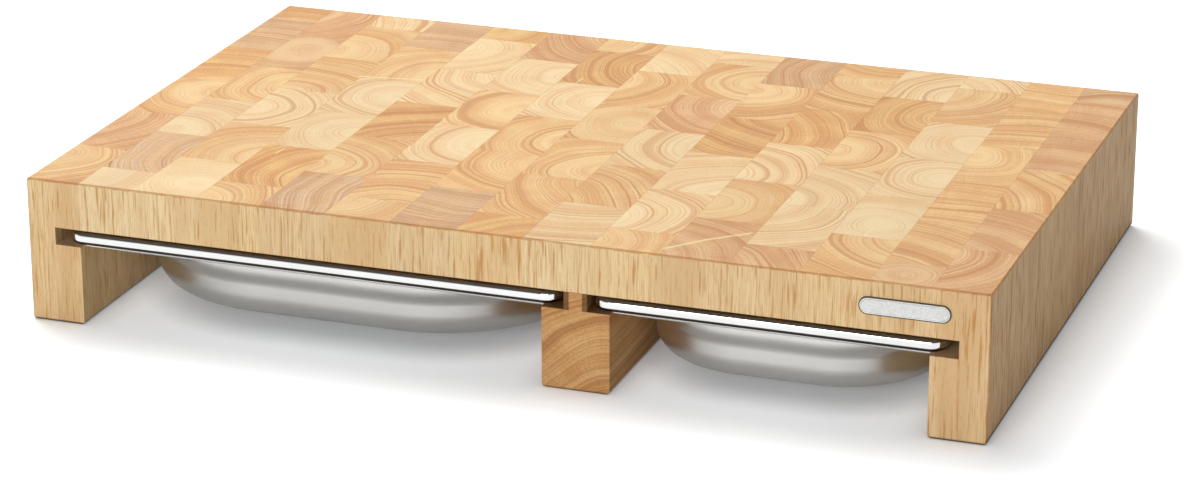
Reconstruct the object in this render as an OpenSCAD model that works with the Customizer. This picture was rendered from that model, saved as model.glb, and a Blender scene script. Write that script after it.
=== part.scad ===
// End-grain cutting board that stands on two side legs and a centre rail, with two pressed
// steel trays sliding like drawers under it. Millimetres, +Z up, +X to the right, front at -Y.
// The origin is the middle of the footprint, on the worktop.

/* [Trays] */
// Length of both trays' rims, front to back
tray_len = 325; // [250:5:400]
// Width of the large tray's rim
large_tray_w = 265; // [210:5:325]
// Width of the small tray's rim
small_tray_w = 176; // [160:2:260]
// Depth of both trays, from the rim's top to the underside of the floor
tray_depth = 40; // [36:1:60]
// Thickness of the steel sheet
sheet_t = 0.8; // [0.6:0.1:1.2]
// Width of the rim along the trays' sides, from its outer edge to the pan's upper wall
rim_w = 11.5; // [8:0.5:14]
// Radius of the rim's outer corners
rim_corner_r = 9; // [6:0.5:16]
// Height of the lip turned down round the rim
lip_h = 7.5; // [5:0.5:9]
// Outer radius of the bend between the rim and its lip
lip_bend_r = 2.5; // [1.5:0.5:4]
// How far the foot of the lip is tucked in
lip_tuck = 1.2; // [0.5:0.1:1.5]
// Height of the upright foot of the lip
lip_foot_h = 0.8; // [0.4:0.1:1.2]
// Inner radius of the bend between the rim and the pan's wall
mouth_bend_r = 2.5; // [1.5:0.5:4]
// Radius of the large pan's upright corners at its mouth
large_corner_r = 82; // [40:1:88]
// Radius of the small pan's upright corners at its mouth
small_corner_r = 56; // [30:1:64]
// Depth of the stacking shoulder's upper edge below the rim's top
shoulder_drop = 15.5; // [10:0.5:18]
// Height of the stacking shoulder's slope
shoulder_h = 4.5; // [2:0.5:5]
// How far the stacking shoulder steps inwards
shoulder_step = 2.5; // [1:0.5:4]
// Outer radius between the pan's wall and its floor
floor_bend_r = 12; // [6:1:16]

/* [Board] */
// Thickness of the cutting surface over the trays
top_t = 25; // [18:1:40]
// Width of each side leg, which is also the outer strip of the cutting surface
leg_w = 29; // [24:1:40]
// Width of the second strip from each side
edge_strip_w = 30; // [20:1:45]
// Length of one end-grain block, front to back
block_len = 61.3; // [50:0.1:80]
// Length of the cut front block in every odd strip, counted from the left
odd_front_len = 56.7; // [20:0.1:60]
// Length of the cut front block in every even strip
even_front_len = 28.7; // [10:0.1:50]
// Wood left outside the groove in each leg
side_wall = 15; // [8:1:20]
// Width of the centre rail below its ledges
rail_w = 35; // [25:1:50]
// Width of the centre rail between the two trays' rims
neck_w = 12; // [8:1:20]
// Size of the chamfer that eases the outer edges
edge_ease = 0.8; // [0.3:0.1:2]
// Radius of the long bottom edges of the legs and the centre rail
foot_r = 2.5; // [1:0.5:6]
// Thickness of the glue lines between the blocks
glue_line = 0.1; // [0.05:0.05:0.3]

/* [Fits] */
// Play between each side of a tray's rim and its groove
side_play = 4.25; // [1:0.25:6]
// Gap above the rims in their grooves
rim_gap = 1.5; // [0.5:0.5:4]
// How far the rims' ends stay behind the board's front and back faces
end_inset = 0.5; // [0:0.5:5]
// Where the large tray lies in its side play: -1 at the left, 0 in the middle, 1 at the right
large_tray_lean = 0.3; // [-1:0.1:1]
// Where the small tray lies in its side play: -1 at the left, 0 in the middle, 1 at the right
small_tray_lean = -0.7; // [-1:0.1:1]
// Height of the trays' floors above the worktop
floor_gap = 9.5; // [4:0.5:20]

/* [Badge] */
// Length of the bare badge plate on the front
badge_w = 45; // [30:1:60]
// Height of the badge plate
badge_h = 9; // [6:0.5:14]
// Thickness of the badge plate at its border
badge_t = 1; // [0.6:0.1:2]
// Depth of the badge plate's field below its border
badge_field_depth = 0.4; // [0.2:0.1:0.5]
// Width of the badge plate's border
badge_border_w = 0.9; // [0.5:0.1:2]
// Distance from the badge plate's middle to the board's right side
badge_from_side = 41.5; // [35:0.5:60]

/* [Hidden] */
$fn = 64;
middle_strips = 11;
strips = middle_strips + 4;
eps = 0.01;

// Heights, from the worktop up
ledge_z = floor_gap + tray_depth - lip_h;
groove_h = lip_h + rim_gap;
top_z = ledge_z + groove_h;
board_h = top_z + top_t;

// Widths, from the left side to the right side
large_slot_w = large_tray_w + 2 * side_play;
small_slot_w = small_tray_w + 2 * side_play;
board_w = 2 * side_wall + large_slot_w + neck_w + small_slot_w;
board_d = tray_len + 2 * end_inset;
groove_depth = leg_w - side_wall;
middle_strip_w = (board_w - 2 * leg_w - 2 * edge_strip_w) / middle_strips;
rail_x = -board_w / 2 + side_wall + large_slot_w + neck_w / 2;
large_tray_x = -board_w / 2 + side_wall + large_slot_w / 2 + large_tray_lean * side_play;
small_tray_x = board_w / 2 - side_wall - small_slot_w / 2 + small_tray_lean * side_play;

// Heights in a tray
rim_top_z = ledge_z + lip_h;
pan_floor_z = rim_top_z - tray_depth;
shoulder_z = rim_top_z - shoulder_drop;

// Wood tones of the strips, used in turn
tones = ["#e3bd88", "#dcb27a", "#e8c795", "#d9aa72", "#e0b882"];
rail_tone = "#d79d5f";
steel_tone = "#b9b8b4";
badge_tone = "#d8d6cf";

// Left side of a strip, counted from 1
function strip_x(number) =
    number == 1 ? -board_w / 2 :
    number == 2 ? -board_w / 2 + leg_w :
    number <= strips - 1 ? -board_w / 2 + leg_w + edge_strip_w + (number - 3) * middle_strip_w :
    board_w / 2 - leg_w;

function strip_w(number) =
    number == 1 || number == strips ? leg_w :
    number == 2 || number == strips - 1 ? edge_strip_w :
    middle_strip_w;

// Distance from the board's front face to the joint in front of a block, counted from 0
function joint_y(number, block) =
    let (front_len = number % 2 == 1 ? odd_front_len : even_front_len)
    block == 0 ? 0 : min(board_d, front_len + (block - 1) * block_len);

// Blocks that it takes to fill a strip
function blocks_in(number) =
    let (front_len = number % 2 == 1 ? odd_front_len : even_front_len)
    1 + ceil((board_d - front_len) / block_len);

// Rectangle standing on the X axis, with its corners cut off at 45 degrees
module eased_rectangle(w, h, ease) {
    x = w / 2;
    polygon([
        [-x + ease, 0], [x - ease, 0], [x, ease], [x, h - ease],
        [x - ease, h], [-x + ease, h], [-x, h - ease], [-x, ease]
    ]);
}

// What rounding takes off a square corner at the origin, which lies towards +X and +Y
module corner_waste(r) {
    difference() {
        translate([-eps, -eps]) square(r + eps);
        translate([r, r]) circle(r);
    }
}

// Extrudes an outline drawn in X and Z from front to back
module run_front_to_back(front, length) {
    translate([0, front + length, 0])
        rotate([90, 0, 0])
            linear_extrude(length) children();
}

// The board's outer form, with its upright and top edges eased
module outer_form() {
    intersection() {
        translate([0, -board_d / 2, 0])
            linear_extrude(board_h) eased_rectangle(board_w, board_d, edge_ease);
        run_front_to_back(-board_d / 2, board_d) eased_rectangle(board_w, board_h, edge_ease);
        rotate([0, 0, 90])
            run_front_to_back(-board_w / 2, board_w) eased_rectangle(board_d, board_h, edge_ease);
    }
}

// Section of a leg: the outer strip reaches the worktop and has a groove for a tray's rim.
// It is drawn for the left leg, with its outer side on the Z axis.
module leg_section() {
    difference() {
        square([leg_w, board_h]);
        translate([side_wall, ledge_z]) square([groove_depth + eps, groove_h]);
        corner_waste(foot_r);
        translate([leg_w, 0]) mirror([1, 0]) corner_waste(foot_r);
    }
}

// Section of one strip, with its left side on the Z axis
module strip_section(number) {
    if (number == 1)
        leg_section();
    else if (number == strips)
        translate([leg_w, 0]) mirror([1, 0]) leg_section();
    else
        translate([0, top_z]) square([strip_w(number), top_t]);
}

// One strip of end-grain blocks glued end to end, each block a solid of its own. Each block
// gives up half a glue line on every side where another block follows.
module strip(number) {
    left = strip_x(number) + (number > 1 ? glue_line / 2 : 0);
    right = strip_x(number) + strip_w(number) - (number < strips ? glue_line / 2 : 0);
    color(tones[number % len(tones)])
        for (block = [0:blocks_in(number) - 1]) {
            front = joint_y(number, block) + (block > 0 ? glue_line / 2 : 0);
            back = joint_y(number, block + 1)
                - (block < blocks_in(number) - 1 ? glue_line / 2 : 0);
            intersection() {
                run_front_to_back(front - board_d / 2, back - front)
                    intersection() {
                        translate([strip_x(number), 0]) strip_section(number);
                        translate([left, 0]) square([right - left, board_h]);
                    }
                outer_form();
            }
        }
}

// Rail between the two trays, glued under the board: its sides carry a ledge for each rim
module centre_rail() {
    color(rail_tone)
        intersection() {
            run_front_to_back(-board_d / 2, board_d)
                translate([rail_x, 0]) rail_section();
            outer_form();
        }
}

module rail_section() {
    difference() {
        translate([-rail_w / 2, 0]) square([rail_w, top_z]);
        for (side = [0, 1])
            mirror([side, 0]) {
                translate([neck_w / 2, ledge_z]) square([rail_w / 2, groove_h + eps]);
                translate([-rail_w / 2, 0]) corner_waste(foot_r);
            }
    }
}

// Quarter of a ring in the +X +Y quadrant
module quarter_ring(outer_r, thickness) {
    intersection() {
        difference() {
            circle(outer_r);
            circle(outer_r - thickness);
        }
        square(outer_r);
    }
}

// Section of a sheet that stands at outer_x, slopes in by step over the height h from z down,
// and stands again: from top_z down to bottom_z, with the same thickness all the way
module stepped_sheet(outer_x, top_z, z, h, step, bottom_z) {
    slope = atan2(step, h);
    miter = sheet_t * tan(slope / 2);
    polygon([
        [outer_x, top_z], [outer_x, z], [outer_x - step, z - h], [outer_x - step, bottom_z],
        [outer_x - step - sheet_t, bottom_z], [outer_x - step - sheet_t, z - h + miter],
        [outer_x - sheet_t, z + miter], [outer_x - sheet_t, top_z]
    ]);
}

// Section of the pan's sheet, with the axis of the upright corner at X = 0: the floor, the
// bend up to the lower wall, the stacking shoulder, the upper wall and the bend out to the rim
module pan_section(corner_r) {
    floor_x = corner_r - shoulder_step - floor_bend_r;
    bend_top_z = pan_floor_z + floor_bend_r;
    mouth_z = rim_top_z - mouth_bend_r - sheet_t;
    translate([0, pan_floor_z]) square([floor_x, sheet_t]);
    translate([floor_x, bend_top_z]) mirror([0, 1]) quarter_ring(floor_bend_r, sheet_t);
    stepped_sheet(corner_r, mouth_z, shoulder_z, shoulder_h, shoulder_step, bend_top_z);
    translate([corner_r + mouth_bend_r, mouth_z])
        mirror([1, 0]) quarter_ring(mouth_bend_r + sheet_t, sheet_t);
}

// Section of the lip, with the axis of the rim's corner at X = 0: the bend down from the rim,
// the upright face and the foot, tucked in at 45 degrees
module lip_section() {
    translate([rim_corner_r - lip_bend_r, rim_top_z - lip_bend_r])
        quarter_ring(lip_bend_r, sheet_t);
    stepped_sheet(
        rim_corner_r, rim_top_z - lip_bend_r, ledge_z + lip_foot_h + lip_tuck,
        lip_tuck, lip_tuck, ledge_z
    );
}

// Sweeps a section round a rectangle whose corners turn about points inset from its edges
module sweep_round(w, l, inset) {
    x = w / 2 - inset;
    y = l / 2 - inset;
    for (quarter = [0:3]) {
        sx = quarter == 0 || quarter == 3 ? x : -x;
        sy = quarter < 2 ? y : -y;
        translate([sx, sy, 0]) rotate([0, 0, 90 * quarter]) rotate_extrude(angle = 90) children();
    }
    for (side = [0, 1]) {
        rotate([0, 0, 180 * side]) translate([x, 0, 0]) run_front_to_back(-y, 2 * y) children();
        rotate([0, 0, 90 + 180 * side]) translate([y, 0, 0])
            run_front_to_back(-x, 2 * x) children();
    }
}

// Flat outline with four rounded corners, centred
module rounded_rectangle(w, l, r) {
    square([w - 2 * r, l], center = true);
    square([w, l - 2 * r], center = true);
    for (x = [-1, 1], y = [-1, 1])
        translate([x * (w / 2 - r), y * (l / 2 - r)]) circle(r);
}

// One tray, pressed from a single sheet: pan, flat rim and turned-down lip
module tray(w, corner_r) {
    pan_inset = rim_w + corner_r;
    mouth_edge = rim_w - mouth_bend_r;
    color(steel_tone) {
        sweep_round(w, tray_len, pan_inset) pan_section(corner_r);
        translate([0, 0, pan_floor_z])
            linear_extrude(sheet_t)
                square([w - 2 * pan_inset, tray_len - 2 * pan_inset], center = true);
        translate([0, 0, rim_top_z - sheet_t])
            linear_extrude(sheet_t)
                difference() {
                    rounded_rectangle(
                        w - 2 * lip_bend_r, tray_len - 2 * lip_bend_r, rim_corner_r - lip_bend_r
                    );
                    rounded_rectangle(
                        w - 2 * mouth_edge, tray_len - 2 * mouth_edge, corner_r + mouth_bend_r
                    );
                }
        sweep_round(w, tray_len, rim_corner_r) lip_section();
    }
}

module large_tray() {
    translate([large_tray_x, 0, 0]) tray(large_tray_w, large_corner_r);
}

module small_tray() {
    translate([small_tray_x, 0, 0]) tray(small_tray_w, small_corner_r);
}

// Outline of the badge plate, a bar with round ends
module badge_outline(border) {
    r = badge_h / 2 - border;
    square([badge_w - badge_h, 2 * r], center = true);
    for (side = [-1, 1])
        translate([side * (badge_w - badge_h) / 2, 0]) circle(r);
}

// Bare metal plate on the front face, level with the middle of the cutting surface's edge
module badge_plate() {
    color(badge_tone)
        translate([board_w / 2 - badge_from_side, -board_d / 2, board_h - top_t / 2])
            rotate([90, 0, 0])
                difference() {
                    linear_extrude(badge_t) badge_outline(0);
                    translate([0, 0, badge_t - badge_field_depth])
                        linear_extrude(badge_t) badge_outline(badge_border_w);
                }
}

strip(1);  // left_leg_strip
strip(2);  // strip_02
strip(3);  // strip_03
strip(4);  // strip_04
strip(5);  // strip_05
strip(6);  // strip_06
strip(7);  // strip_07
strip(8);  // strip_08
strip(9);  // strip_09
strip(10);  // strip_10
strip(11);  // strip_11
strip(12);  // strip_12
strip(13);  // strip_13
strip(14);  // strip_14
strip(15);  // right_leg_strip
centre_rail();
large_tray();
small_tray();
badge_plate();
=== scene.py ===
# %% [markdown]
# # An end-grain cutting board with two steel drawer trays
# The solids come from the CAD model and stay where they are: this file gives them their looks.
# The board is glued up from blocks that stand on end, so its top shows growth rings and its
# sides show long grain. Two pressed steel trays hang by their rims in grooves under it.

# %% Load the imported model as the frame
import math
import random

import bmesh
import bpy
from mathutils import Matrix, Vector


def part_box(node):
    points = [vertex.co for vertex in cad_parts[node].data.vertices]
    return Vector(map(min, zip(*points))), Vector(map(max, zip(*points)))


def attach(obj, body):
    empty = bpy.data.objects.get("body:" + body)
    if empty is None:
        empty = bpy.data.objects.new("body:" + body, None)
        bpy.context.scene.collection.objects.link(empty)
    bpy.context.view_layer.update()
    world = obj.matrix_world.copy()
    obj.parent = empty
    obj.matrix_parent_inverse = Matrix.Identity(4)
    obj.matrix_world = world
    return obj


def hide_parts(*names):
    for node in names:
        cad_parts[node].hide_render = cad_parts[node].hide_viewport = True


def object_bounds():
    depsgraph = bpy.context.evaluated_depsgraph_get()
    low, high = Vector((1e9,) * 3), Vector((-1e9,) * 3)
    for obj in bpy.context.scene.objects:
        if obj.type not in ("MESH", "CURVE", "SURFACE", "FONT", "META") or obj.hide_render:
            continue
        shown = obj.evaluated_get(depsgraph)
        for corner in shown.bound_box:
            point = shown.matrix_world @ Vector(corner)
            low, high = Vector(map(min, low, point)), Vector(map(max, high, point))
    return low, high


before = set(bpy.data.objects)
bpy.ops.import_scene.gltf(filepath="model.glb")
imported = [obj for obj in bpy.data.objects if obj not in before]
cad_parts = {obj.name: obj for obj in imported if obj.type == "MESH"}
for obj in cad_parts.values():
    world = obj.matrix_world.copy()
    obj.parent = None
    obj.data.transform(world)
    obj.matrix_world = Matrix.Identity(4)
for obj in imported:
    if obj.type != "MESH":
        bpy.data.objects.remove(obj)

MM = 0.001
cad_low, cad_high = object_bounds()
print("CAD box in mm:", [round(v / MM, 1) for v in cad_high - cad_low])

# %% [markdown]
# ## The camera
# The photograph was taken from the front right, from above, with a long lens. The place and the
# lens come from fitting a camera to the board's corners: they agree to within a few pixels.

# %% Camera
CAMERA_PLACE = Vector((0.6278, -1.7741, 0.7004))
CAMERA_LOOK = Vector((-0.3137, 0.8857, -0.3423))
CAMERA_LENS_MM = 113.96
SENSOR_WIDTH_MM = 36


def make_camera():
    data = bpy.data.cameras.new("camera")
    data.lens, data.sensor_width, data.sensor_fit = CAMERA_LENS_MM, SENSOR_WIDTH_MM, "HORIZONTAL"
    camera = bpy.data.objects.new("camera", data)
    camera.location = CAMERA_PLACE
    camera.rotation_euler = CAMERA_LOOK.to_track_quat("-Z", "Y").to_euler()
    bpy.context.scene.collection.objects.link(camera)
    bpy.context.scene.camera = camera
    return camera


camera = make_camera()
tilt = math.degrees(-math.asin(CAMERA_LOOK.z))
print("camera", camera.data.lens, "mm, looking down", round(tilt, 1), "degrees")

# %% [markdown]
# ## Small helpers for shader nodes
# A procedural material is a sum of many small nodes. These helpers add one node each and take
# either a number or another node's output for every input, so a pattern reads like arithmetic.


# %% Helpers that add one node
def add_node(tree, kind, inputs=None, **settings):
    made = tree.nodes.new(kind)
    for name, value in settings.items():
        setattr(made, name, value)
    for socket, value in (inputs or {}).items():
        if isinstance(value, bpy.types.NodeSocket):
            tree.links.new(value, made.inputs[socket])
        else:
            made.inputs[socket].default_value = value
    return made


def maths(tree, operation, *terms, clamp=False):
    return add_node(
        tree, "ShaderNodeMath", dict(enumerate(terms)), operation=operation, use_clamp=clamp
    ).outputs[0]


def vector_maths(tree, operation, *terms, result=0):
    """result is 1 where the answer is a number: a length, a distance or a dot product."""
    sockets = (0, 3) if operation == "SCALE" else (0, 1, 2)
    return add_node(
        tree, "ShaderNodeVectorMath", dict(zip(sockets, terms)), operation=operation
    ).outputs[result]


def combined(tree, x, y, z=0.0):
    return add_node(tree, "ShaderNodeCombineXYZ", {0: x, 1: y, 2: z}).outputs[0]


def separated(tree, vector):
    return add_node(tree, "ShaderNodeSeparateXYZ", {0: vector}).outputs


def object_place(tree, scale=1.0):
    """The point's own place on its object, in m, or in mm with a scale of 1000."""
    place = add_node(tree, "ShaderNodeTexCoord").outputs["Object"]
    return place if scale == 1.0 else vector_maths(tree, "MULTIPLY", place, (scale,) * 3)


print("one metre of an object is", 1 / MM, "mm of pattern")

# %% [markdown]
# Most of a pattern is noise with a threshold. Stretched along the fibres it becomes grain, and
# read along one number it becomes rings. Colours are written as on a screen, where a maker
# picks them, and turned into amounts of light.

# %% Helpers for noise, steps and mixing
def smooth_step(tree, value, low, high):
    """0 below low, 1 above high, and an even S between. low may be the larger."""
    return add_node(
        tree, "ShaderNodeMapRange", {0: value, 1: low, 2: high},
        interpolation_type="SMOOTHSTEP", clamp=True,
    ).outputs[0]


def noise_along(tree, distance, detail=0.0):
    """Noise that changes along one number only, one bump for each unit of it."""
    return add_node(
        tree, "ShaderNodeTexNoise", {"W": distance, "Scale": 1.0, "Detail": detail},
        noise_dimensions="1D",
    ).outputs[0]


def noise_in(tree, place, detail=1.0, colour=False):
    """Noise in space, one bump for each unit."""
    made = add_node(tree, "ShaderNodeTexNoise", {"Vector": place, "Scale": 1.0, "Detail": detail})
    return made.outputs[1 if colour else 0]


def stretched_noise(tree, place, bumps_per_unit, detail=1.0):
    """Noise in space with its own number of bumps for each unit in each direction."""
    return noise_in(tree, vector_maths(tree, "MULTIPLY", place, bumps_per_unit), detail)


def mix_colour(tree, share, first, second):
    made = add_node(tree, "ShaderNodeMix", data_type="RGBA")
    for socket, value in zip((0, 6, 7), (share, first, second)):
        if isinstance(value, bpy.types.NodeSocket):
            tree.links.new(value, made.inputs[socket])
        else:
            made.inputs[socket].default_value = value
    return made.outputs[2]


def mix_value(tree, share, first, second):
    return add_node(tree, "ShaderNodeMix", {0: share, 2: first, 3: second}).outputs[0]


def colour_of(hex_text):
    """The linear colour that Blender needs for a colour written as on a screen."""
    parts = [int(hex_text[i : i + 2], 16) / 255 for i in (1, 3, 5)]
    linear = (c / 12.92 if c <= 0.04045 else ((c + 0.055) / 1.055) ** 2.4 for c in parts)
    return tuple(linear) + (1.0,)


def stained(tree, share, strength, wood, hex_text):
    """Mixes strength of a colour into the wood wherever share is 1."""
    return mix_colour(tree, maths(tree, "MULTIPLY", share, strength), wood, colour_of(hex_text))


print("mid grey on a screen is", round(colour_of("#808080")[0], 3), "of the light of white")

# %% [markdown]
# Wood, steel and cast metal all end in the same shader, with a colour, a roughness and a bump
# that come from their own patterns.

# %% Helpers for a material
def new_material(name):
    """A material with one Principled shader, and its node tree."""
    material = bpy.data.materials.new(name)
    material.use_nodes = True
    tree = material.node_tree
    tree.nodes.clear()
    shader = add_node(tree, "ShaderNodeBsdfPrincipled")
    output = add_node(tree, "ShaderNodeOutputMaterial")
    tree.links.new(shader.outputs[0], output.inputs[0])
    return material, tree, shader


def feed(tree, value, shader, socket):
    tree.links.new(value, shader.inputs[socket])


def feed_bump(tree, height, strength, distance, shader):
    bump = add_node(
        tree, "ShaderNodeBump", {"Height": height, "Strength": strength, "Distance": distance}
    )
    feed(tree, bump.outputs[0], shader, "Normal")


print("materials before the first:", len(bpy.data.materials))

# %% [markdown]
# ## Wood as a solid pattern
# Painted-on wood gives itself away where two faces meet. Real grain is solid: growth rings are
# tubes round the heart of the tree, so the same tube is an arc on the end of a block and a
# straight line down its side. So the pattern starts with the distance from the heart. The rings
# of a real tree are never quite round: two sizes of wobble move the place where they are read.

# %% Where a point lies in its log
SLOW_WOBBLE = (0.032, 0.032, 0.006)  # bumps per mm: across, up and along the fibres
QUICK_WOBBLE = (0.16, 0.16, 0.012)
SLOW_REACH, QUICK_REACH = 8.0, 0.9  # mm from one side to the other


def wobble(tree, spot, shift, bumps_per_mm, detail, reach):
    """Moves that are the same along the fibres, up to half of reach to each side."""
    place = vector_maths(tree, "MULTIPLY_ADD", spot, bumps_per_mm, shift)
    return vector_maths(
        tree, "MULTIPLY_ADD", noise_in(tree, place, detail, True),
        (reach, reach, 0.0), (-reach / 2, -reach / 2, 0.0),
    )


def place_in_log(tree, spot, shift, along, heart_across, heart_up, lean):
    """How far a point lies to the side of the heart, above it, and from it, in mm."""
    slow = wobble(tree, spot, shift, SLOW_WOBBLE, 0.0, SLOW_REACH)
    quick = wobble(tree, spot, shift, QUICK_WOBBLE, 1.0, QUICK_REACH)
    moved = vector_maths(tree, "ADD", vector_maths(tree, "ADD", spot, slow), quick)
    moved_across, moved_up, _ = separated(tree, moved)
    side = maths(tree, "SUBTRACT", moved_across, heart_across)
    side = maths(tree, "SUBTRACT", side, maths(tree, "MULTIPLY", lean, along))
    rise = maths(tree, "SUBTRACT", moved_up, heart_up)
    square = maths(tree, "MULTIPLY_ADD", side, side, maths(tree, "MULTIPLY", rise, rise))
    return side, rise, maths(tree, "SQRT", square)


print("rings wander by", SLOW_REACH / 2, "mm")

# %% [markdown]
# ## Growth rings
# A ring is one year: pale quick wood that darkens outwards and ends in a line. Years differ in
# width and in strength, so the count of rings is bent by slow noise, and each line gets a weight
# from its own number. Near the heart the wood is young and pale, and its lines are faint.

# %% Rings
WIDE_RINGS = (0.19, 3.2, 53.0)  # rings per mm, unevenness, and where the noise is read
NARROW_RINGS = (0.47, 4.0, 31.0)


def ring_lines(tree, radius, seed, rings_per_mm, unevenness, offset):
    drift = maths(tree, "MULTIPLY_ADD", seed, offset, maths(tree, "MULTIPLY", radius, 0.06))
    count = maths(
        tree, "MULTIPLY_ADD", radius, rings_per_mm, maths(tree, "MULTIPLY", seed, 19.0)
    )
    count = maths(tree, "MULTIPLY_ADD", noise_along(tree, drift), unevenness, count)
    year = maths(tree, "FRACT", count)
    late_wood = smooth_step(tree, year, 0.40, 0.90)
    line = maths(tree, "MULTIPLY", late_wood, smooth_step(tree, year, 1.0, 0.90))
    number = maths(tree, "MULTIPLY_ADD", maths(tree, "FLOOR", count), 1.37, seed)
    weight = smooth_step(tree, noise_along(tree, number), 0.36, 0.66)
    return maths(tree, "MULTIPLY", line, weight)


def all_lines(tree, radius, seed, boldness):
    wide = ring_lines(tree, radius, seed, *WIDE_RINGS)
    narrow = ring_lines(tree, radius, seed, *NARROW_RINGS)
    old_wood = maths(tree, "MULTIPLY_ADD", smooth_step(tree, radius, 8.0, 26.0), 0.82, 0.18)
    lines = maths(tree, "MULTIPLY", maths(tree, "MULTIPLY_ADD", narrow, 0.5, wide), old_wood)
    return maths(tree, "MULTIPLY", lines, boldness, clamp=True)


def noise_of_radius(tree, radius, bumps_per_mm, seed, offset, detail=0.0):
    """Noise that is the same all round a ring."""
    read_at = maths(tree, "MULTIPLY", radius, bumps_per_mm)
    return noise_along(tree, maths(tree, "MULTIPLY_ADD", seed, offset, read_at), detail)


print("wide rings are about", round(1 / WIDE_RINGS[0], 1), "mm apart")

# %% [markdown]
# ## Fibres, rays and pores
# Everything that isn't a ring follows the fibres: it is small across them and long along them.
# The same noise is then a speck on the end of a block and a streak on its side, which is how
# the eye tells end grain from long grain. Rays are the exception: they run out from the heart.

# %% The grain
CLOUD = (0.05, 0.05, 0.012)  # bumps per mm: across, up and along the fibres
FIBRES = (0.9, 0.9, 0.03)
THREADS = (2.6, 2.6, 0.22)
BUNDLES = (0.85, 0.85, 0.045)
THIN_BUNDLES = (2.4, 2.4, 0.06)
PORES = (1.15, 1.15, 0.16)
RAYS_ROUND = 46.0  # bumps for each radian round the heart


def ray_noise(tree, side, rise, radius, along):
    turn = maths(tree, "MULTIPLY", maths(tree, "ARCTAN2", rise, side), RAYS_ROUND)
    place = combined(
        tree, turn, maths(tree, "MULTIPLY", radius, 0.06), maths(tree, "MULTIPLY", along, 0.05)
    )
    return noise_in(tree, place)


def grain(tree, across, up, along, seed, heart_across, heart_up, lean, boldness):
    """How dark the wood is, and how much is there of a ring's line, a pore, a bundle of dark
    fibres and a milky streak. across and up lie in the end grain, along follows the fibres,
    all in mm."""
    spot = combined(tree, across, up, along)
    shift = combined(tree, maths(tree, "MULTIPLY", seed, 71.0), maths(tree, "MULTIPLY", seed, 37.0))

    def along_fibres(bumps_per_mm, detail=1.0):
        return noise_in(
            tree, vector_maths(tree, "MULTIPLY_ADD", spot, bumps_per_mm, shift), detail
        )

    side, rise, radius = place_in_log(tree, spot, shift, along, heart_across, heart_up, lean)
    lines = all_lines(tree, radius, seed, boldness)
    # paler and darker groups of years, and darker wood further from the heart
    bands = smooth_step(tree, noise_of_radius(tree, radius, 0.085, seed, 97.0), 0.32, 0.68)
    dark = maths(tree, "MULTIPLY_ADD", bands, 0.40, -0.06)
    dark = maths(tree, "MULTIPLY_ADD", smooth_step(tree, radius, 10.0, 42.0), 0.46, dark)
    cloud = along_fibres(CLOUD)
    for pattern, share in (
        (noise_of_radius(tree, radius, 0.8, seed, 11.0, 2.0), 1.15),
        (ray_noise(tree, side, rise, radius, along), 0.50),
        (cloud, 1.05), (along_fibres(FIBRES), 0.80), (along_fibres(THREADS), 0.80),
    ):
        dark = maths(tree, "MULTIPLY_ADD", maths(tree, "SUBTRACT", pattern, 0.5), share, dark)
    # pores are long thin tubes: dots on the end grain, dashes on the long grain
    tubes = vector_maths(tree, "MULTIPLY_ADD", spot, PORES, shift)
    tube = add_node(tree, "ShaderNodeTexVoronoi", {"Vector": tubes, "Scale": 1.0}).outputs[0]
    pores = smooth_step(tree, tube, 0.30, 0.12)
    # bundles of darker fibres, up to a few cm long, in two sizes
    bundles = smooth_step(tree, along_fibres(BUNDLES, 3.0), 0.50, 0.70)
    thin_bundles = smooth_step(tree, along_fibres(THIN_BUNDLES), 0.50, 0.66)
    bundles = maths(tree, "MAXIMUM", bundles, maths(tree, "MULTIPLY", thin_bundles, 0.5))
    # where open fibres scatter the light they look milky, in streaks along the rings; their whitish
    # colour also paints a sheen
    streaks = noise_along(tree, maths(tree, "MULTIPLY", radius, 0.7), 2.0)
    milky = maths(
        tree, "MULTIPLY", smooth_step(tree, streaks, 0.38, 0.66),
        smooth_step(tree, cloud, 0.36, 0.62),
    )
    return maths(tree, "ADD", dark, 0.0, clamp=True), lines, pores, bundles, milky


print("fibres are", round(FIBRES[0] / FIBRES[2]), "times as long as they are wide")

# %% [markdown]
# ## The blocks' own natures
# Every block is cut from another place in another log, so each has its own heart, its own tone
# and its own strength of rings. The table holds them strip by strip, from the left leg to the
# right one: changing a block is a change to a line here and not to a node tree.

# %% Tones of the blocks
TONES = {
    "cream": ("#fce1b2", "#edc087"),
    "honey": ("#f9d69e", "#e4a96a"),
    "amber": ("#f4cb8c", "#d8985a"),
    "rose": ("#f3cc9a", "#d69965"),
    "grey": ("#efca9c", "#cd9c6c"),
}

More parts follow.
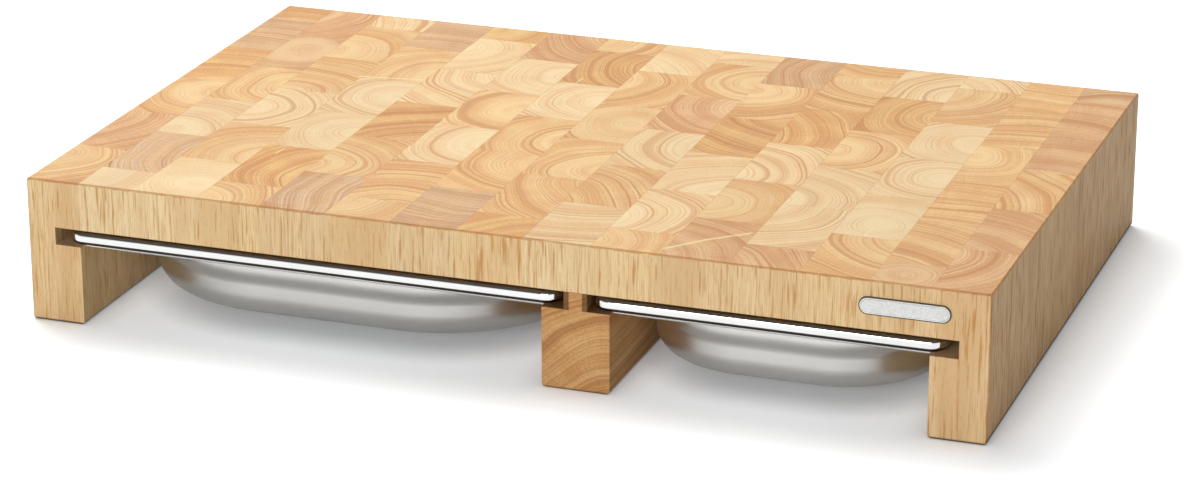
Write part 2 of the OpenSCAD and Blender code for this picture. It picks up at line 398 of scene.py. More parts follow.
# Where each block's rings have their centre, in mm from the block's own middle (right, back), and
# the tone and the strength of the rings, from the front block to the back one of each strip.
BLOCKS = {
    "left_leg_strip": [
        (-22, 11, "honey", 1.2), (-45, 20, "rose", 1.0), (16, 12, "honey", 0.9),
        (12, -49, "amber", 0.8), (0, -70, "grey", 0.8), (5, -40, "amber", 0.7),
    ],
    "strip_02": [
        (-25, 10, "cream", 0.4), (60, 5, "grey", 1.2), (-10, -27, "cream", 0.6),
        (22, 2, "honey", 0.9), (0, 4, "rose", 0.6), (-37, 19, "rose", 1.2),
    ],
    "strip_03": [
        (8, -9, "cream", 0.4), (24, -18, "honey", 1.2), (-19, -4, "cream", 1.1),
        (-12, -39, "honey", 0.9), (-16, -19, "honey", 0.6), (-50, -15, "cream", 1.3),
    ],
    "strip_04": [
        (-20, -14, "honey", 1.2), (41, -7, "amber", 1.0), (17, -1, "cream", 0.8),
        (15, 4, "cream", 1.2), (19, -17, "honey", 1.0), (0, -70, "grey", 0.6),
    ],
    "strip_05": [
        (80, 5, "grey", 1.3), (-23, -20, "honey", 1.1), (48, -80, "amber", 1.5),
        (30, 32, "cream", 1.0), (-23, 11, "cream", 1.1), (-20, 10, "amber", 0.6),
    ],
    "strip_06": [
        (-20, 12, "honey", 0.9), (11, -49, "honey", 1.1), (20, 7, "cream", 0.9),
        (16, 3, "honey", 1.0), (17, 8, "cream", 0.9), (45, 35, "rose", 1.0),
    ],
    "strip_07": [
        (5, 80, "grey", 0.8), (29, 24, "honey", 1.0), (29, -3, "honey", 1.2),
        (16, 3, "cream", 0.9), (42, 12, "amber", 1.5), (-17, 8, "honey", 1.2),
    ],
    "strip_08": [
        (40, -45, "amber", 0.8), (50, 35, "honey", 1.3), (21, -14, "honey", 1.2),
        (9, 0, "honey", 1.1), (-33, 9, "honey", 1.4), (-22, -29, "cream", 0.8),
    ],
    "strip_09": [
        (-15, 70, "cream", 0.7), (-50, -45, "honey", 1.2), (30, 12, "cream", 1.0),
        (30, 21, "rose", 1.1), (19, 2, "honey", 0.8), (10, -50, "cream", 0.6),
    ],
    "strip_10": [
        (-25, -5, "honey", 0.8), (-26, -12, "cream", 1.3), (21, -30, "cream", 0.6),
        (30, 57, "amber", 1.3), (-18, 18, "honey", 1.1), (70, 5, "grey", 1.3),
    ],
    "strip_11": [
        (-30, -35, "rose", 0.9), (-19, -8, "honey", 1.2), (-29, -24, "cream", 1.0),
        (-70, -30, "amber", 1.3), (13, 28, "honey", 1.2), (12, 40, "honey", 1.0),
    ],
    "strip_12": [
        (-35, -25, "rose", 1.0), (-30, 30, "cream", 0.8), (-23, -25, "cream", 1.3),
        (-15, -2, "honey", 1.1), (27, 5, "amber", 1.5), (27, -17, "cream", 1.0),
    ],
    "strip_13": [
        (27, 33, "honey", 1.2), (0, -12, "cream", 0.5), (14, 4, "cream", 1.2),
        (15, 0, "cream", 1.2), (-23, 20, "honey", 1.2), (-25, -20, "cream", 1.0),
    ],
    "strip_14": [
        (-2, -1, "rose", 0.6), (-30, -80, "honey", 1.3), (0, -90, "honey", 0.9),
        (-13, 11, "honey", 1.2), (20, -90, "honey", 1.2), (0, 80, "honey", 0.8),
    ],
    "right_leg_strip": [
        (-40, 20, "rose", 1.1), (-20, -45, "rose", 1.0), (-48, -30, "honey", 1.2),
        (-3, -50, "rose", 0.9), (-8, -55, "rose", 1.1), (10, -35, "grey", 1.0),
    ],
}
STRIPS = list(BLOCKS)
print(sum(len(strip) for strip in BLOCKS.values()), "blocks in", len(STRIPS), "strips")

# %% [markdown]
# ## Painted shade and other marks on the wood
# Each of these functions says how much of one mark there is at a point, from 0 to 1. The grooves
# are darkened as painted shade, most of all on their ceiling, the underside of the blocks above
# the trays. The outer edges have a darker line, and glue joints show as hairlines on the top
# only.

# %% Marks on the wood
TOP = cad_high.z / MM
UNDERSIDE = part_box("strip_02")[0].z / MM
LIP_HEIGHT_MM = 7.5
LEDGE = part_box("large_tray")[1].z / MM - LIP_HEIGHT_MM
LEG_WALL = 15  # mm of wood outside a leg's groove
GROOVE_WALL = cad_high.x / MM - LEG_WALL
WIDER_AT_ENDS = 0.5  # mm by which the line of an edge is wider on the front and the back
SOFT_EDGE = (0.3, 0.05)  # mm over which a mark begins at a face


def groove_painted_shade(tree, x, z):
    """Painted shade in the outer legs' grooves, most on the underside of the blocks above the
    trays.
    """
    far, near = SOFT_EDGE
    below = smooth_step(tree, z, UNDERSIDE + far, UNDERSIDE + near)
    above = smooth_step(tree, z, LEDGE - far, LEDGE - near)
    inside = smooth_step(
        tree, maths(tree, "ABSOLUTE", x), GROOVE_WALL + far, GROOVE_WALL + near
    )
    ceiling = smooth_step(tree, z, UNDERSIDE - far, UNDERSIDE - near)
    strength = maths(tree, "MULTIPLY_ADD", ceiling, 0.45, 0.35)
    shaded_recess = maths(tree, "MULTIPLY", maths(tree, "MULTIPLY", below, above), inside)
    return maths(tree, "MULTIPLY", strength, shaded_recess)


def depth_behind(tree, value, face):
    return maths(tree, "SUBTRACT", face, maths(tree, "ABSOLUTE", value))


def outer_edge(tree, place, sides, ends, top):
    """Near two outer faces at once, which is along an edge, with an uneven width."""
    nearest = maths(
        tree, "MINIMUM", maths(tree, "MAXIMUM", sides, ends),
        maths(
            tree, "MINIMUM", maths(tree, "MAXIMUM", sides, top), maths(tree, "MAXIMUM", ends, top)
        ),
    )
    uneven = stretched_noise(tree, place, (0.2, 0.2, 0.2), 2.0)
    return smooth_step(tree, maths(tree, "MULTIPLY_ADD", uneven, -1.2, nearest), 0.5, -0.2)


def stored(tree, name):
    """What the block's mesh holds under this name: a vector or a colour."""
    return add_node(tree, "ShaderNodeAttribute", attribute_name=name).outputs


def glue_joint(tree, x, y, z):
    middle = separated(tree, stored(tree, "block_middle")["Vector"])
    half = separated(tree, stored(tree, "block_half")["Vector"])
    gaps = [
        maths(tree, "SUBTRACT", half[axis],
              maths(tree, "ABSOLUTE", maths(tree, "SUBTRACT", value, middle[axis])))
        for axis, value in enumerate((x, y))
    ]
    flat_top = smooth_step(tree, z, TOP - 0.3, TOP - 0.1)
    hairline = smooth_step(tree, maths(tree, "MINIMUM", *gaps), 0.35, 0.05)
    return maths(tree, "MULTIPLY", hairline, flat_top)


print("grooves from", round(LEDGE, 1), "to", round(UNDERSIDE, 1), "mm above the worktop")

# %% [markdown]
# ## Pale streaks
# A few blocks have a straight pale streak across their rings, taken here for a mineral deposit.
# Each is a line from one point to another: the distance from the nearest point of that line,
# made uneven by noise, says where the streak is.

# %% Pale streaks
# from, to and width in mm, measured from the board's middle
PALE_STREAKS = [
    ((-157.3, 50.0), (-122.3, 55.7), 2.2), ((86.7, -154.0), (102.0, -135.5), 2.6),
    ((102.0, -135.5), (119.5, -119.5), 2.6), ((-147.0, -86.0), (-146.0, -78.0), 1.3),
    ((-42.0, 79.0), (-41.5, 87.0), 1.3), ((172.0, -105.0), (173.0, -93.0), 1.3),
]


def mineral(tree, place, x, y, below_top):
    flat_place = combined(tree, x, y)
    rough_edge = stretched_noise(tree, place, (0.5, 0.5, 0.0), 2.0)
    share = 0.0
    for start, end, width in PALE_STREAKS:
        start, end = Vector((*start, 0)), Vector((*end, 0))
        run = end - start
        reach = vector_maths(tree, "SUBTRACT", flat_place, tuple(start))
        part = vector_maths(tree, "DOT_PRODUCT", reach, tuple(run / run.length_squared), result=1)
        part = maths(tree, "MULTIPLY", part, 1.0, clamp=True)
        nearest = vector_maths(tree, "SCALE", tuple(run), part)
        across = vector_maths(tree, "DISTANCE", reach, nearest, result=1)
        across = maths(tree, "MULTIPLY_ADD", rough_edge, width * 0.6, across)
        here = smooth_step(tree, across, width * 0.9, width * 0.4)
        share = maths(tree, "MAXIMUM", here, share)
    return maths(tree, "MULTIPLY", share, smooth_step(tree, below_top, -1.0, -0.3))


print(len(PALE_STREAKS), "pale streaks")

# %% [markdown]
# ## The block wood's material
# The marks are laid over one another: growth first, then the painted shade in the grooves, the
# pale streaks, the darker sides and edges and the glue lines, and last the painted dark line at
# the feet. Light goes deeper into end grain than into long grain, so the sides of a block look
# paler and plainer than its top, and their streaks stand out more.

# %% The block wood
RING_LINE = "#c37d44"
OPEN_PORE = "#9a683c"
STREAK = "#c2833c"
LONG_GRAIN = "#f7dfae"
MILKY_SHEEN = "#fff3df"
# a dark brown for painted shade in the grooves, under the blocks and at the feet
PAINTED_SHADE_BROWN = "#50341f"
PALE_STREAK = "#fbe7ae"
FLAT_CUT = "#a9682f"
DARK_EDGE_LINE = "#b97c42"
GLUE = "#a8743f"
WOOD_GLOSS = 0.15  # raw oiled wood reflects less than varnish does


def finish_wood(tree, shader, wood, dark, pores):
    """What both woods share: satin roughness, sunken pores and little gloss."""
    feed(tree, wood, shader, "Base Color")
    feed(tree, maths(tree, "MULTIPLY_ADD", dark, -0.10, 0.60), shader, "Roughness")
    height = maths(tree, "MULTIPLY_ADD", dark, -0.35, maths(tree, "MULTIPLY", pores, -0.65))
    feed_bump(tree, height, 0.35, 0.00008, shader)
    shader.inputs["Specular IOR Level"].default_value = WOOD_GLOSS


def grown_wood(tree, place, x, y, below_top, long_grain):
    """The block as it grew: rings, milky parts, bundles of fibres and pores."""
    heart = separated(tree, stored(tree, "heart")["Vector"])
    seed, boldness, milkiness = separated(tree, stored(tree, "nature")["Vector"])
    dark, lines, pores, bundles, milky = grain(
        tree, x, y, below_top, seed, heart[0], heart[1], heart[2], boldness
    )
    paler = maths(tree, "MULTIPLY_ADD", long_grain, -0.35, 1.0)
    dark, lines = maths(tree, "MULTIPLY", dark, paler), maths(tree, "MULTIPLY", lines, paler)
    pale_wood, dark_wood = stored(tree, "pale_wood")["Color"], stored(tree, "dark_wood")["Color"]
    wood = mix_colour(tree, dark, pale_wood, dark_wood)
    wood = stained(tree, lines, 0.58, wood, RING_LINE)
    # milky streaks: pale open fibres, with painted sheen
    wood = stained(tree, milky, milkiness, wood, MILKY_SHEEN)
    wood = stained(tree, long_grain, 0.58, wood, LONG_GRAIN)
    broad = smooth_step(tree, stretched_noise(tree, place, (0.05, 0.05, 0.006)), 0.44, 0.66)
    narrow = maths(tree, "MULTIPLY", bundles, 0.78)
    streaks = maths(tree, "MAXIMUM", narrow, maths(tree, "MULTIPLY", broad, 0.28))
    wood = stained(tree, streaks, long_grain, wood, STREAK)
    pore_strength = maths(tree, "MULTIPLY_ADD", long_grain, 0.06, 0.12)
    return stained(tree, pores, pore_strength, wood, OPEN_PORE), dark, pores, bundles


def block_wood():
    material, tree, shader = new_material("block_wood")
    place = object_place(tree, 1 / MM)
    x, y, z = separated(tree, place)
    below_top = maths(tree, "SUBTRACT", z, TOP)
    long_grain = smooth_step(tree, below_top, -0.3, -1.0)
    wood, dark, pores, bundles = grown_wood(tree, place, x, y, below_top, long_grain)
    # painted shade in the grooves and under the blocks above the trays
    wood = mix_colour(tree, groove_painted_shade(tree, x, z), wood, colour_of(PAINTED_SHADE_BROWN))
    wood = stained(tree, mineral(tree, place, x, y, below_top), 0.8, wood, PALE_STREAK)
    # the outer sides show more of the dark fibres, like wood that is cut flat to the rings
    sides = depth_behind(tree, x, cad_high.x / MM)
    ends = depth_behind(tree, y, cad_high.y / MM - WIDER_AT_ENDS)
    flat_cut = maths(tree, "MULTIPLY", smooth_step(tree, sides, 0.8, 0.2), long_grain)
    fibres = maths(tree, "MULTIPLY_ADD", bundles, 0.50, 0.08)
    wood = stained(tree, flat_cut, fibres, wood, FLAT_CUT)
    edge = outer_edge(tree, place, sides, ends, maths(tree, "SUBTRACT", TOP, z))
    # a darker line along the outer edges, uneven in width
    wood = stained(tree, edge, 0.6, wood, DARK_EDGE_LINE)
    wood = stained(tree, glue_joint(tree, x, y, z), 0.2, wood, GLUE)
    # a painted dark line at the feet, in place of the deepest shadow in the photograph; it is
    # higher on the outer sides, where the edge below it is rounded
    on_side = smooth_step(tree, sides, 0.9, 0.5)
    foot = smooth_step(tree, maths(tree, "MULTIPLY_ADD", on_side, -1.9, z), 1.6, 0.7)
    wood = stained(tree, foot, 0.85, wood, PAINTED_SHADE_BROWN)
    finish_wood(tree, shader, wood, dark, pores)
    return material


block_material = block_wood()
print("block wood:", len(block_material.node_tree.nodes), "nodes")

# %% [markdown]
# ## Blocks glued into strips
# The solids in the CAD model leave a hair of air where the glue is. Real glue fills it, so each
# strip is shown by a copy of its solids with those hairs closed: the flat sides on both sides
# of a joint slide to its middle. First, the loose blocks of the copy are told apart.


# %% Helpers for the blocks
def loose_solids(shape):
    """The vertices of each solid that touches no other, as lists."""
    left, solids = set(shape.verts), []
    while left:
        reached = [left.pop()]
        for vertex in reached:
            for edge in vertex.link_edges:
                other = edge.other_vert(vertex)
                if other in left:
                    left.remove(other)
                    reached.append(other)
        solids.append(reached)
    return solids


def span(vertices, axis):
    values = [v.co[axis] for v in vertices]
    return min(values), max(values)


def move_plane(vertices, axis, old, new):
    """Slides the vertices that lie on one flat side to a new place."""
    for v in vertices:
        if abs(v.co[axis] - old) < 0.01 * MM:
            v.co[axis] = new


def close_glue_joints(shape, solids, number):
    low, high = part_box(STRIPS[number])
    for neighbour, old, other in ((number - 1, low.x, 1), (number + 1, high.x, 0)):
        if 0 <= neighbour < len(STRIPS):
            seam = (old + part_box(STRIPS[neighbour])[other].x) / 2
            move_plane(shape.verts, 0, old, seam)
    for front, back in zip(solids, solids[1:]):
        front_end, back_start = span(front, 1)[1], span(back, 1)[0]
        seam = (front_end + back_start) / 2
        move_plane(front, 1, front_end, seam)
        move_plane(back, 1, back_start, seam)


def finish_piece(name, shape, materials, body, smooth_below=30):
    """Makes an object of a bmesh, rounds its shading over shallow edges and ties it to its body."""
    mesh = bpy.data.meshes.new(name)
    shape.to_mesh(mesh)
    shape.free()
    for material in materials:
        mesh.materials.append(material)
    for face in mesh.polygons:
        face.use_smooth = True
    mesh.set_sharp_from_angle(angle=math.radians(smooth_below))
    piece = bpy.data.objects.new(name, mesh)
    bpy.context.scene.collection.objects.link(piece)
    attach(piece, body)
    return piece


print("the strips to build:", ", ".join(STRIPS[:3]), "...")

# %% [markdown]
# ## Marking each block
# Six named attributes on the mesh carry a block's nature to the material: where its heart lies,
# its seed, boldness and milkiness, its middle and half its size for the glue lines, and its two
# tones. The seed and a small change of tone come from one seeded random source, so that every
# run gives the same board.

# %% Build the strips of blocks
LEANS = {("left_leg_strip", 0): 0.17, ("left_leg_strip", 1): 0.12, ("strip_02", 0): 0.10}
# milky streaks, pale open fibres with painted sheen, are stronger in these blocks
MILKY_BLOCKS = {
    ("strip_02", 1): 0.32, ("strip_05", 0): 0.30, ("strip_02", 0): 0.25, ("strip_07", 0): 0.18,
}
MILKY_ELSEWHERE = 0.10
VECTOR_MARKS = ("heart", "nature", "block_middle", "block_half")
COLOUR_MARKS = ("pale_wood", "dark_wood")
wood_lot = random.Random(26)


def tint(colour, value):
    return [min(1.0, c * value) for c in colour[:3]] + [1.0]


def block_marks(node, index, vertices):
    """The values of a block's attributes, by name."""
    right, back, tone, boldness = BLOCKS[node][index]
    (x0, x1), (y0, y1) = span(vertices, 0), span(vertices, 1)
    middle = Vector(((x0 + x1) / 2, (y0 + y1) / 2, 0)) / MM
    lean = LEANS.get((node, index), wood_lot.uniform(-0.03, 0.03))
    milkiness = MILKY_BLOCKS.get((node, index), MILKY_ELSEWHERE)
    nature = Vector((wood_lot.random(), boldness, milkiness))
    shade = wood_lot.uniform(0.96, 1.04)
    pale, dark = (tint(colour_of(c), shade) for c in TONES[tone])
    return {
        "heart": Vector((middle.x + right, middle.y + back, lean)), "nature": nature,
        "block_middle": middle, "block_half": Vector(((x1 - x0) / 2, (y1 - y0) / 2, 0)) / MM,
        "pale_wood": pale, "dark_wood": dark,
    }


def make_strip(number):
    node = STRIPS[number]
    shape = bmesh.new()
    shape.from_mesh(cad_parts[node].data)
    bmesh.ops.remove_doubles(shape, verts=shape.verts[:], dist=0.001 * MM)
    kinds = shape.verts.layers
    layers = {name: kinds.float_vector.new(name) for name in VECTOR_MARKS}
    layers.update({name: kinds.float_color.new(name) for name in COLOUR_MARKS})
    solids = sorted(loose_solids(shape), key=lambda vertices: span(vertices, 1)[0])
    close_glue_joints(shape, solids, number)
    for index, vertices in enumerate(solids):
        marks = block_marks(node, index, vertices)
        for v in vertices:
            for name, value in marks.items():
                v[layers[name]] = value
    piece = finish_piece(f"{node}_blocks", shape, [block_material], "board")
    # large flat faces stay flat: smooth shading would tilt the light across them
    for face in piece.data.polygons:
        face.use_smooth = max(abs(part) for part in face.normal) < 0.999
    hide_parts(node)
    return piece


strips = [make_strip(number) for number in range(len(STRIPS))]
print("made", len(strips), "strips, the first with", len(strips[0].data.vertices), "vertices")

# %% [markdown]
# ## The centre rail
# The rail is one stick with its grain from front to back, of redder wood than the blocks. Its
# solid is right as it is, so it stays, and only gets its own wood: the same grain, read with
# the fibres along the rail instead of upright.

# %% The rail's wood
RAIL_HEART = (26.0, -26.0)  # mm to the right of the rail's middle and above the worktop
RAIL_SEED, RAIL_LEAN, RAIL_BOLDNESS = 0.37, 0.01, 1.2
RAIL_PALE, RAIL_DARK, RAIL_LINE, RAIL_PORE = "#e5b980", "#c88f57", "#a06335", "#7c5430"
GROOVE_DEPTH = 14


def rail_wood():
    material, tree, shader = new_material("rail_wood")
    x, y, z = separated(tree, object_place(tree, 1 / MM))
    low, high = (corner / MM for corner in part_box("centre_rail"))
    middle_x = (low.x + high.x) / 2
    dark, lines, pores, _, _ = grain(
        tree, x, z, y, RAIL_SEED, middle_x + RAIL_HEART[0], RAIL_HEART[1],
        RAIL_LEAN, RAIL_BOLDNESS,
    )
    wood = mix_colour(tree, dark, colour_of(RAIL_PALE), colour_of(RAIL_DARK))
    wood = stained(tree, lines, 0.6, wood, RAIL_LINE)
    wood = stained(tree, pores, 0.22, wood, RAIL_PORE)
    # painted shade on the walls of its two grooves, as in the others, and the same painted dark
    # line at its foot
    wall = (high.x - low.x) / 2 - GROOVE_DEPTH
    from_middle = maths(tree, "ABSOLUTE", maths(tree, "SUBTRACT", x, middle_x))
    shaded_recess = maths(
        tree, "MULTIPLY", smooth_step(tree, from_middle, wall - 0.15, wall - 0.05),
        smooth_step(tree, z, LEDGE - 0.3, LEDGE - 0.05),
    )
    rail_painted_shade = maths(tree, "MAXIMUM", shaded_recess, smooth_step(tree, z, 1.5, 0.4))
    # painted shade in the grooves and at the foot
    wood = stained(tree, rail_painted_shade, 0.75, wood, PAINTED_SHADE_BROWN)
    finish_wood(tree, shader, wood, dark, pores)
    return material


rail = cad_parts["centre_rail"]
rail.data.materials.clear()
rail.data.materials.append(rail_wood())
print("rail:", len(rail.data.polygons), "faces")

# %% [markdown]
# ## Steel
# The trays are pressed from one sheet. The rim is polished and mirrors the worktop. The pan is
# satin: the same metal with a rougher surface, and a hint of the lines that drawing the sheet
# into the die leaves round the walls. A dark metal in the fold of the lip is painted shade: it
# draws the dark line there.


# %% The three steels
def steel(name, colour, roughness, mark_depth, marks_per_m):
    material, tree, shader = new_material(name)
    shader.inputs["Metallic"].default_value = 1.0
    place = object_place(tree)
    marks = stretched_noise(tree, place, marks_per_m, 3.0)
    cloud = stretched_noise(tree, place, (16.0, 16.0, 16.0), 2.0)
    duller, brighter = (tint(colour_of(colour), share) for share in (0.95, 1.03))
    tone = mix_colour(tree, smooth_step(tree, cloud, 0.3, 0.7), duller, brighter)
    feed(tree, tone, shader, "Base Color")
    rough = roughness
    for pattern, share in ((marks, 0.5), (cloud, 0.3)):
        uneven = maths(tree, "SUBTRACT", pattern, 0.5)
        rough = maths(tree, "MULTIPLY_ADD", uneven, roughness * share, rough)
    feed(tree, rough, shader, "Roughness")
    feed_bump(tree, marks, 0.3, mark_depth, shader)
    return material


polished_steel = steel("polished_steel", "#f2f1ef", 0.05, 0.000005, (300.0, 300.0, 300.0))
satin_steel = steel("satin_steel", "#dad8d4", 0.35, 0.00002, (160.0, 160.0, 1400.0))
# painted shade: a dark steel for the line in the fold of the lip
fold_shade_steel = steel("fold_shade_steel", "#4b423a", 0.30, 0.00002, (300.0, 300.0, 300.0))
STEELS = [polished_steel, satin_steel, fold_shade_steel]
POLISHED, SATIN, FOLD_SHADE = range(len(STEELS))
print("steels:", [material.name for material in STEELS])

# %% [markdown]
# ## The section of a tray
# A pressed tray is a stack of outlines: each is a rectangle with rounded corners, a little wider
# and higher than the one before. One line describes them all: the section through a corner, from
# the floor up the wall, over the shoulder to the rim, and down round the lip to its foot.

# %% Measures of the trays
SHEET = 0.8 * MM
RIM_WIDTH = 11.5 * MM
RIM_CORNER = 9.0 * MM
LIP_HEIGHT = LIP_HEIGHT_MM * MM
LIP_BEND = 2.5 * MM
LIP_CURL, CURL_TURN = 3.0 * MM, 62
LIP_FOOT = 0.9 * MM
CURL_POLISHED_STEPS = 2
MOUTH_BEND = 2.5 * MM
SHOULDER_DROP = 15.5 * MM
SHOULDER_HEIGHT = 4.5 * MM
SHOULDER_STEP = 2.5 * MM
SHOULDER_ROUND = 3.0 * MM
FLOOR_BEND = 12.0 * MM
PAN_CORNERS = {"large_tray": 82.0 * MM, "small_tray": 56.0 * MM}


def arc(centre, radius, start, end, steps):
    """Points of an arc in the section, as (distance from the corner's axis, height)."""
    turns = [math.radians(start + (end - start) * i / steps) for i in range(steps + 1)]
    return [(centre[0] + radius * math.cos(t), centre[1] + radius * math.sin(t)) for t in turns]


def rounded(points, radius, steps=5):
    """The same line with its inner corners rounded."""
    line = [points[0]]
    for before, here, after in zip(points, points[1:], points[2:]):
        a, b, c = Vector(before), Vector(here), Vector(after)
        into, out = (a - b).normalized(), (c - b).normalized()
        reach = min(radius, (a - b).length / 2, (c - b).length / 2)
        start, end = b + into * reach, b + out * reach
        for i in range(steps + 1):
            t = i / steps
            line.append(tuple(start * (1 - t) ** 2 + b * 2 * t * (1 - t) + end * t**2))
    return line + [points[-1]]


def pan_section(floor, top, pan_corner):
    """The pan's inner face, from the floor to the rim, measured from the pan corner's axis."""
    inner = pan_corner - SHEET
    bend = FLOOR_BEND - SHEET
    shoulder = top - SHOULDER_DROP
    wall = [
        (inner - SHOULDER_STEP, floor + FLOOR_BEND + 1 * MM),
        (inner - SHOULDER_STEP, shoulder - SHOULDER_HEIGHT),
        (inner, shoulder),
        (inner, top - MOUTH_BEND - SHEET - 1 * MM),
    ]
    mouth = (pan_corner + MOUTH_BEND, top - MOUTH_BEND - SHEET)
    return (
        arc((inner - SHOULDER_STEP - bend, floor + FLOOR_BEND), bend, -90, 0, 12)
        + rounded(wall, SHOULDER_ROUND)
        + arc(mouth, MOUTH_BEND + SHEET, 180, 90, 10)
    )


def lip_section(top):
    """The lip from the rim's edge down, measured from the rim corner's axis, and which of its
    steps get the dark steel of painted shade in the fold."""
    ledge = top - LIP_HEIGHT
    curl_height = ledge + LIP_FOOT + LIP_CURL * math.sin(math.radians(CURL_TURN))
    bend = arc((RIM_CORNER - LIP_BEND, top - LIP_BEND), LIP_BEND, 90, 0, 12)
    curl = arc((RIM_CORNER - LIP_CURL, curl_height), LIP_CURL, 0, -CURL_TURN, 10)
    fold = (curl[-1][0] - 0.3 * MM, curl[-1][1] - 0.05 * MM)
    seam = range(len(bend) + CURL_POLISHED_STEPS, len(bend) + len(curl))
    return bend + curl + [fold, (fold[0], ledge)], seam


print("the lip hangs", LIP_HEIGHT_MM, "mm below the rim's top")

# %% [markdown]
# ## The trays
# The model starts as the flat floor, and its edge is extruded from one point of the section to
# the next. In every step the vertices of each corner are scaled about that corner's own axis,
# which keeps the corners true arcs. A Solidify modifier then gives the sheet its thickness.

# %% Build the trays
CORNER_STEPS = 28


def flat_floor(axis, first):
    """A rectangle with rounded corners, at the first point of the section."""
    radius, height = first
    shape = bmesh.new()
    bmesh.ops.create_grid(shape, x_segments=1, y_segments=1, size=1.0)
    bmesh.ops.scale(shape, vec=(axis.x + radius, axis.y + radius, 1), verts=shape.verts[:])
    bmesh.ops.translate(shape, vec=(0, 0, height), verts=shape.verts[:])
    bmesh.ops.bevel(
        shape, geom=shape.verts[:], offset=radius, offset_type="OFFSET", affect="VERTICES",
        segments=CORNER_STEPS, profile=0.5, material=-1, clamp_overlap=False,
    )
    for face in shape.faces:
        face.material_index = SATIN
    return shape


def extrude_outline(shape, outline, old_axis, new_axis, old, new, material):
    """Takes the open edge from one point of the section to the next, and returns the new one."""
    made = bmesh.ops.extrude_edge_only(shape, edges=outline)["geom"]
    corners = [v for v in made if isinstance(v, bmesh.types.BMVert)]
    for face in made:
        if isinstance(face, bmesh.types.BMFace):
            face.material_index = material
    size = new[0] / old[0]
    for right in (-1, 1):
        for back in (-1, 1):
            turned = Vector((right, back, 1))
            part = [v for v in corners if v.co.x * right > 0 and v.co.y * back > 0]
            about = Matrix.Translation(-old_axis * turned)
            bmesh.ops.scale(shape, vec=(size, size, 1), space=about, verts=part)
            slide = new_axis - old_axis + Vector((0, 0, new[1] - old[1]))
            bmesh.ops.translate(shape, vec=slide * turned, verts=part)
    return [e for e in made if isinstance(e, bmesh.types.BMEdge) and e.is_boundary]


def same_point(old, new):
    return (Vector(old) - Vector(new)).length < 1e-7


def make_tray(node):
    low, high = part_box(node)
    middle, half = (low + high) / 2, (high - low) / 2
    pan_corner = PAN_CORNERS[node]
    pan = pan_section(low.z, high.z, pan_corner)
    lip, seam = lip_section(high.z)
    pan_inset, rim_inset = RIM_WIDTH + pan_corner, RIM_CORNER
    pan_axis = Vector((half.x - pan_inset, half.y - pan_inset, 0))
    rim_axis = Vector((half.x - rim_inset, half.y - rim_inset, 0))
    shape = flat_floor(pan_axis, pan[0])
    outline = [e for e in shape.edges if e.is_boundary]
    for old, new in zip(pan, pan[1:]):
        if not same_point(old, new):
            outline = extrude_outline(shape, outline, pan_axis, pan_axis, old, new, SATIN)
    outline = extrude_outline(shape, outline, pan_axis, rim_axis, pan[-1], lip[0], POLISHED)
    for step, (old, new) in enumerate(zip(lip, lip[1:])):
        if not same_point(old, new):
            # steps in the fold get the dark steel of painted shade
            metal = FOLD_SHADE if step in seam else POLISHED
            outline = extrude_outline(shape, outline, rim_axis, rim_axis, old, new, metal)
    bmesh.ops.translate(shape, vec=(middle.x, middle.y, 0), verts=shape.verts[:])
    bmesh.ops.recalc_face_normals(shape, faces=shape.faces[:])
    tray = finish_piece(f"{node}_sheet", shape, STEELS, node, 60)
    give_thickness(tray)
    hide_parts(node)
    return tray


def give_thickness(tray):
    """The section is the pan's inner face, so the sheet grows down and outwards from it."""
    floor_face = max(tray.data.polygons, key=lambda f: f.area if f.center.z < 0.02 else 0)
    faces_up = floor_face.normal.z > 0
    sheet = tray.modifiers.new("sheet thickness", "SOLIDIFY")
    sheet.thickness, sheet.offset, sheet.use_even_offset = SHEET, -1 if faces_up else 1, True
    tray.modifiers.new("shading", "WEIGHTED_NORMAL").keep_sharp = True


trays = {node: make_tray(node) for node in PAN_CORNERS}
for node, tray in trays.items():
    print(node, len(tray.data.polygons), "faces before the sheet gets its thickness")

# %% [markdown]
# ## The badge plate
# A small cast plate sits on the front, with a bare field inside a raised border. It starts as a
# flat bar whose corners are rounded until the ends are half circles. Insets then step inwards:
# a narrow dark foot of painted shade that draws the plate's outline, the border, and the
# sunken field.

# %% Build the badge plate
FOOT_WIDTH = 0.5 * MM
BORDER_WIDTH = 0.55 * MM
STEP_HEIGHT = 0.3 * MM
STEEP, SLOPING = 0.05 * MM, 0.25 * MM  # how far a step runs inwards as it rises or falls


def cast_metal(name, dull, bright):
    material, tree, shader = new_material(name)
    shader.inputs["Metallic"].default_value = 1.0
    marks = stretched_noise(tree, object_place(tree), (900.0, 900.0, 900.0), 3.0)
    tone = mix_colour(tree, marks, colour_of(dull), colour_of(bright))
    feed(tree, tone, shader, "Base Color")
    feed(tree, maths(tree, "MULTIPLY_ADD", marks, 0.2, 0.30), shader, "Roughness")
    feed_bump(tree, marks, 0.5, 0.00004, shader)
    return material


def plate_blank(size):
    """A bar with round ends, standing behind its front face, and that face."""
    shape = bmesh.new()
    bmesh.ops.create_grid(shape, x_segments=1, y_segments=1, size=0.5)
    bmesh.ops.scale(shape, vec=(size.x, size.z, 1), verts=shape.verts[:])
    bmesh.ops.bevel(
        shape, geom=shape.verts[:], offset=size.z / 2, offset_type="OFFSET",
        affect="VERTICES", segments=16, profile=0.5, material=-1, clamp_overlap=False,
    )
    bmesh.ops.remove_doubles(shape, verts=shape.verts[:], dist=0.01 * MM)
    upright = Matrix.Rotation(math.pi / 2, 3, "X")
    bmesh.ops.rotate(shape, cent=(0, 0, 0), matrix=upright, verts=shape.verts[:])
    raised = bmesh.ops.extrude_face_region(shape, geom=shape.faces[:])["geom"]
    front = next(part for part in raised if isinstance(part, bmesh.types.BMFace))
    bmesh.ops.translate(shape, vec=(0, STEP_HEIGHT - size.y, 0), verts=front.verts[:])
    return shape, front


